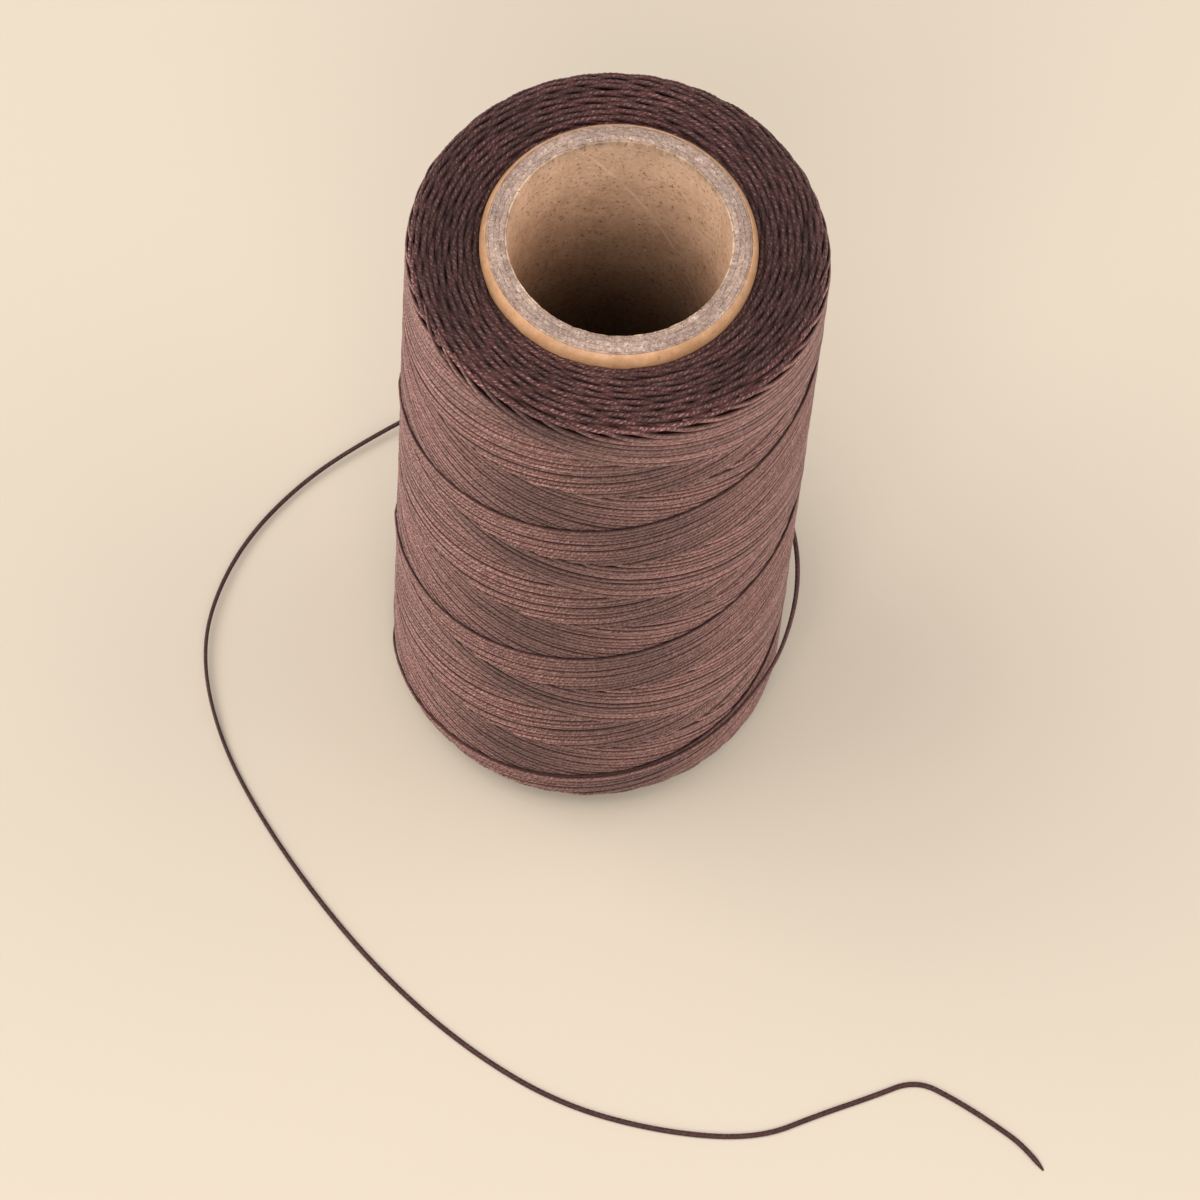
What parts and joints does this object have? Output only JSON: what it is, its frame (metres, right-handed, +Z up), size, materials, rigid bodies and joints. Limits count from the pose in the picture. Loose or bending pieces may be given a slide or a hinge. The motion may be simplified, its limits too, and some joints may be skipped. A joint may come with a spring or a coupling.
{
  "type": "waxed thread spool",
  "caption": "Flangeless paper-tube spool, cross-wound with dark brown twisted waxed thread for hand-sewn leather, its loose end lying round the foot.",
  "frame": {"origin": "centre of the tube's lower end, on the surface that the spool stands on", "axes": "+Z up along the tube's axis; -Y faces the front, where the last wrap climbs to the right"},
  "size_m": [0.1239, 0.1169, 0.11],
  "materials": {
    "kraft_liner": "matte brown kraft paper, flecked",
    "chipboard": "matte grey-brown recycled board, speckled",
    "kraft_wrap": "matte tan kraft paper, a little burnished at its edges",
    "waxed_thread": "dark brown twisted polyester thread with a soft wax sheen"
  },
  "bodies": {
    "root": {"tube_inner_liner": "kraft_liner", "tube_board_ply_1": "chipboard", "tube_board_ply_2": "chipboard", "tube_board_ply_3": "chipboard", "tube_board_ply_4": "chipboard", "tube_outer_wrap": "kraft_wrap", "thread_cover_01": "waxed_thread", "thread_cover_02": "waxed_thread", "thread_cover_03": "waxed_thread", "thread_cover_04": "waxed_thread", "thread_cover_05": "waxed_thread", "thread_cover_06": "waxed_thread", "thread_cover_07": "waxed_thread", "thread_cover_08": "waxed_thread", "thread_cover_09": "waxed_thread", "thread_cover_10": "waxed_thread", "thread_last_wrap": "waxed_thread", "thread_tail": "waxed_thread"}
  },
  "joints": []
}
